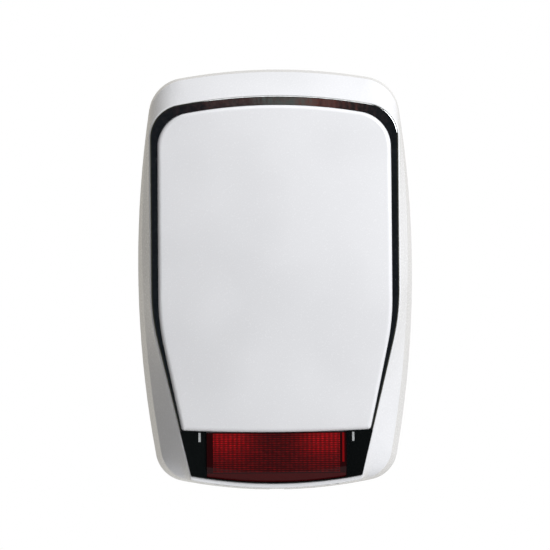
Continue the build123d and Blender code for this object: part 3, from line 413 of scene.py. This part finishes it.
# ------------------------------------------------------------------ settings
class SirenSizes(bpy.types.PropertyGroup):
    floor_drop: FloatProperty(name="Floor drop", description="How far the floor lies below the siren",
                              default=0.35, unit="LENGTH")
    floor_radius: FloatProperty(name="Floor radius", description="Radius of the studio floor",
                                default=0.8, unit="LENGTH")
    camera_distance: FloatProperty(name="Camera distance", description="From the wall face to the camera",
                                   default=1.6088, unit="LENGTH")
    camera_height: FloatProperty(name="Camera height", description="Camera height above the siren's middle",
                                 default=0.0032, unit="LENGTH")
    camera_roll: FloatProperty(name="Camera roll", default=0.45,
                               description="Tilt of the camera about its own line of sight, in degrees")
    focal_length: FloatProperty(name="Focal length", description="Lens length in millimetres", default=146.6)


class SirenColours(bpy.types.PropertyGroup):
    hood_hex: StringProperty(name="Hood", description="sRGB hex colour of the hood and panel",
                             default="#ebecef")
    studio: FloatVectorProperty(name="Studio light", description="Colour of the soft studio light",
                                default=(1.0, 1.0, 1.0), subtype="COLOR")


# ------------------------------------------------------------------ operators
class SIREN_OT_finishes(bpy.types.Operator):
    """Make every finish of the siren"""
    bl_idname = "siren.finishes"
    bl_label = "Finishes"

    def execute(self, context):
        finishes.update(make_finishes(context.scene.siren_colours))
        return {"FINISHED"}


class SIREN_OT_hood(bpy.types.Operator):
    """Finish the hood and its crowned front panel"""
    bl_idname = "siren.hood"
    bl_label = "Hood and front panel"

    def execute(self, context):
        dress("main_cover", "front_panel")
        return {"FINISHED"}


class SIREN_OT_trim(bpy.types.Operator):
    """Finish the chrome trim band"""
    bl_idname = "siren.trim"
    bl_label = "Trim band"

    def execute(self, context):
        dress("trim_band")
        return {"FINISHED"}


class SIREN_OT_window(bpy.types.Operator):
    """Finish the strobe window, its bezel, seal, screws and light pipes"""
    bl_idname = "siren.window"
    bl_label = "Strobe window"

    def execute(self, context):
        dress("lower_bezel", "strobe_lens", "lens_seal", "front_screws", "light_pipes")
        return {"FINISHED"}


class SIREN_OT_base(bpy.types.Operator):
    """Finish the base plate with its hinge rod, grommet and cover screw"""
    bl_idname = "siren.base"
    bl_label = "Base and hinge"

    def execute(self, context):
        dress("base_plate", "cable_grommet", "hinge_rod", "screw_insert", "screw_washer", "cover_screw")
        return {"FINISHED"}


class SIREN_OT_electronics(bpy.types.Operator):
    """Finish the boards, their components and both tamper switches"""
    bl_idname = "siren.electronics"
    bl_label = "Electronics"

    def execute(self, context):
        dress("main_board", "board_screws", "terminal_block", "terminal_screws", "capacitors", "step_up_coil",
              "transistors", "microcontroller", "fuse_holder", "fuse", "lead_sockets", "cover_tamper_switch",
              "cover_tamper_button", "wall_tamper_plunger", "wall_tamper_switch", "strobe_board",
              "strobe_screws", "strobe_leds", "status_leds", "strobe_reflector")
        return {"FINISHED"}


class SIREN_OT_springs(bpy.types.Operator):
    """Copy the two tamper springs as smooth coils in place of their CAD nodes"""
    bl_idname = "siren.springs"
    bl_label = "Tamper springs"

    def execute(self, context):
        # The button's spring stands on the switch behind it; the plunger's hangs from the switch before it.
        flexing_spring("cover_tamper_spring")
        flexing_spring("wall_tamper_spring")
        return {"FINISHED"}


class SIREN_OT_battery(bpy.types.Operator):
    """Finish the battery, its terminals, strap and screws"""
    bl_idname = "siren.battery"
    bl_label = "Battery"

    def execute(self, context):
        dress("battery", "battery_terminals", "battery_strap", "strap_screws")
        return {"FINISHED"}


class SIREN_OT_sounder(bpy.types.Operator):
    """Finish the siren horn and its driver"""
    bl_idname = "siren.sounder"
    bl_label = "Horn and driver"

    def execute(self, context):
        dress("siren_horn", "horn_screws", "siren_driver", "driver_cap")
        return {"FINISHED"}


class SIREN_OT_leads(bpy.types.Operator):
    """Finish the four inner leads"""
    bl_idname = "siren.leads"
    bl_label = "Leads"

    def execute(self, context):
        dress("battery_lead_red", "battery_lead_black", "siren_lead", "strobe_lead")
        return {"FINISHED"}


def soft_light(name, place, aim, size, power, colour):
    """A square soft light that faces a point."""
    lamp = bpy.data.lights.new(name, "AREA")
    lamp.shape = "SQUARE"
    lamp.size = size
    lamp.energy = power
    lamp.color = colour
    holder = bpy.data.objects.new(name, lamp)
    holder.location = place
    holder.rotation_euler = (Vector(aim) - Vector(place)).to_track_quat("-Z", "Y").to_euler()
    bpy.context.scene.collection.objects.link(holder)


def mixed(tree, amount, one, other):
    """Two colours mixed, all of the second at amount 1."""
    return add_node(tree, "ShaderNodeMix", {"data_type": "RGBA"},
                    links={0: amount, 6: one, 7: other}).outputs[2]


def studio_world(scene):
    """White to the eye, soft grey for the shading, and a dim cluttered room for the reflections."""
    world = bpy.data.worlds.new("Studio room")
    scene.world = world
    world.use_nodes = True
    tree = world.node_tree
    tree.nodes.clear()
    way = add_node(tree, "ShaderNodeTexCoord").outputs["Generated"]
    split = add_node(tree, "ShaderNodeSeparateXYZ", links={"Vector": way})
    # Straight in front of the siren the room is dark; it turns olive, then pale behind the wall.
    turn = add_node(tree, "ShaderNodeMapRange", values={"From Min": -1.0, "From Max": 1.0},
                    links={"Value": split.outputs["Y"]})
    room = colour_between(tree, turn.outputs["Result"],
                          [(0.0, "#22262a"), (0.02, "#2b2e30"), (0.06, "#3a3a34"), (0.3, "#45443b"),
                           (0.6, "#57544a"), (0.9, "#d9d5cb")])
    # Things standing about beside the camera: the small coloured patches that a bright trim picks up.
    clutter = add_node(tree, "ShaderNodeTexVoronoi", {"feature": "F1"}, {"Scale": 55.0}, {"Vector": way})
    hue = colour_between(tree, clutter.outputs["Color"],
                         [(0.28, "#2b2d2f"), (0.4, "#a3aea6"), (0.52, "#4a4e4c"), (0.62, "#a85a50"),
                          (0.75, "#3a3d40")])
    spot = add_node(tree, "ShaderNodeVectorMath", {"operation": "DISTANCE"}, {1: CLUTTER_WAY}, {0: way})
    near = soft_step(tree, spot.outputs["Value"], 0.02, 0.04, 0.95, 0.0)
    furnished = mixed(tree, near, room, hue)
    # The room's soft light is dim and warm at the lower left, so the flank on that side falls off to grey.
    toward = add_node(tree, "ShaderNodeVectorMath", {"operation": "DOT_PRODUCT"}, {1: SOFT_LIGHT_WAY},
                      {0: way})
    lean = add_node(tree, "ShaderNodeMapRange", values={"From Min": -1.0, "From Max": 0.8},
                    links={"Value": toward.outputs["Value"]})
    soft = colour_between(tree, lean.outputs["Result"],
                          [(0.0, "#1c1916"), (0.3, "#5b5650"), (0.55, "#8e8d8c"), (1.0, "#b9babe")])
    rays = add_node(tree, "ShaderNodeLightPath")
    shade = mixed(tree, rays.outputs["Is Glossy Ray"], soft, furnished)
    white = add_node(tree, "ShaderNodeRGB")
    white.outputs["Color"].default_value = (1.0, 1.0, 1.0, 1.0)
    seen = mixed(tree, rays.outputs["Is Camera Ray"], shade, white.outputs["Color"])
    back = add_node(tree, "ShaderNodeBackground", links={"Color": seen})
    add_node(tree, "ShaderNodeOutputWorld", links={"Surface": back.outputs["Background"]})


class SIREN_OT_stage(bpy.types.Operator):
    """Lay out the floor, the soft lights and the camera"""
    bl_idname = "siren.stage"
    bl_label = "Studio"

    def execute(self, context):
        sizes = context.scene.siren_sizes
        lowest = cad_box[0]
        mesh = bpy.data.meshes.new("studio_floor")
        form = bmesh.new()
        bmesh.ops.create_circle(form, cap_ends=True, segments=FLOOR_SEGMENTS, radius=sizes.floor_radius)
        bmesh.ops.translate(form, verts=form.verts, vec=(0.0, 0.0, lowest[2] - sizes.floor_drop))
        form.to_mesh(mesh)
        form.free()
        floor = bpy.data.objects.new("studio_floor", mesh)
        context.scene.collection.objects.link(floor)
        material, tree, shader, place = new_finish("Pale studio floor")
        cloud = mottle(tree, place, 90.0, detail=1.0)
        shader.inputs["Roughness"].default_value = 0.8
        pale = colour_between(tree, cloud, [(0.3, "#f2f2f1"), (0.7, "#f6f6f5")])
        tree.links.new(pale, shader.inputs["Base Color"])
        mesh.materials.append(material)

        studio_world(context.scene)
        tint = tuple(context.scene.siren_colours.studio)
        soft_light("key_light", KEY_LIGHT_PLACE, MIDDLE, KEY_LIGHT_SIZE, KEY_LIGHT_POWER, tint)
        soft_light("top_light", TOP_LIGHT_PLACE, MIDDLE, TOP_LIGHT_SIZE, TOP_LIGHT_POWER, tint)

        lens = bpy.data.cameras.new("siren_camera")
        lens.lens = sizes.focal_length
        lens.sensor_width = SENSOR_WIDTH
        lens.clip_end = CAMERA_REACH
        camera = bpy.data.objects.new("siren_camera", lens)
        camera.location = (CAMERA_SIDESTEP, -sizes.camera_distance, sizes.camera_height)
        camera.rotation_euler = (radians(90), radians(sizes.camera_roll), 0.0)
        context.scene.collection.objects.link(camera)
        context.scene.camera = camera
        context.scene.view_settings.view_transform = "Standard"
        return {"FINISHED"}


MAKERS = (SIREN_OT_finishes, SIREN_OT_hood, SIREN_OT_trim, SIREN_OT_window, SIREN_OT_base,
          SIREN_OT_electronics, SIREN_OT_springs, SIREN_OT_battery, SIREN_OT_sounder, SIREN_OT_leads,
          SIREN_OT_stage)


class SIREN_PT_maker(bpy.types.Panel):
    bl_idname = "SIREN_PT_maker"
    bl_label = "Alarm siren"
    bl_space_type = "VIEW_3D"
    bl_region_type = "UI"
    bl_category = "Siren"

    def draw(self, context):
        column = self.layout.column()
        for name in SirenSizes.__annotations__:
            column.prop(context.scene.siren_sizes, name)
        for name in SirenColours.__annotations__:
            column.prop(context.scene.siren_colours, name)
        for maker in MAKERS:
            column.operator(maker.bl_idname)


CLASSES = (SirenSizes, SirenColours) + MAKERS + (SIREN_PT_maker,)


def register():
    for made in CLASSES:
        bpy.utils.register_class(made)
    bpy.types.Scene.siren_sizes = PointerProperty(type=SirenSizes)
    bpy.types.Scene.siren_colours = PointerProperty(type=SirenColours)


def unregister():
    del bpy.types.Scene.siren_colours
    del bpy.types.Scene.siren_sizes
    for made in reversed(CLASSES):
        bpy.utils.unregister_class(made)


def main():
    register()
    bpy.ops.siren.finishes()
    bpy.ops.siren.hood()
    bpy.ops.siren.trim()
    bpy.ops.siren.window()
    bpy.ops.siren.base()
    bpy.ops.siren.electronics()
    bpy.ops.siren.springs()
    bpy.ops.siren.battery()
    bpy.ops.siren.sounder()
    bpy.ops.siren.leads()
    bpy.ops.siren.stage()


if __name__ == "__main__":
    main()
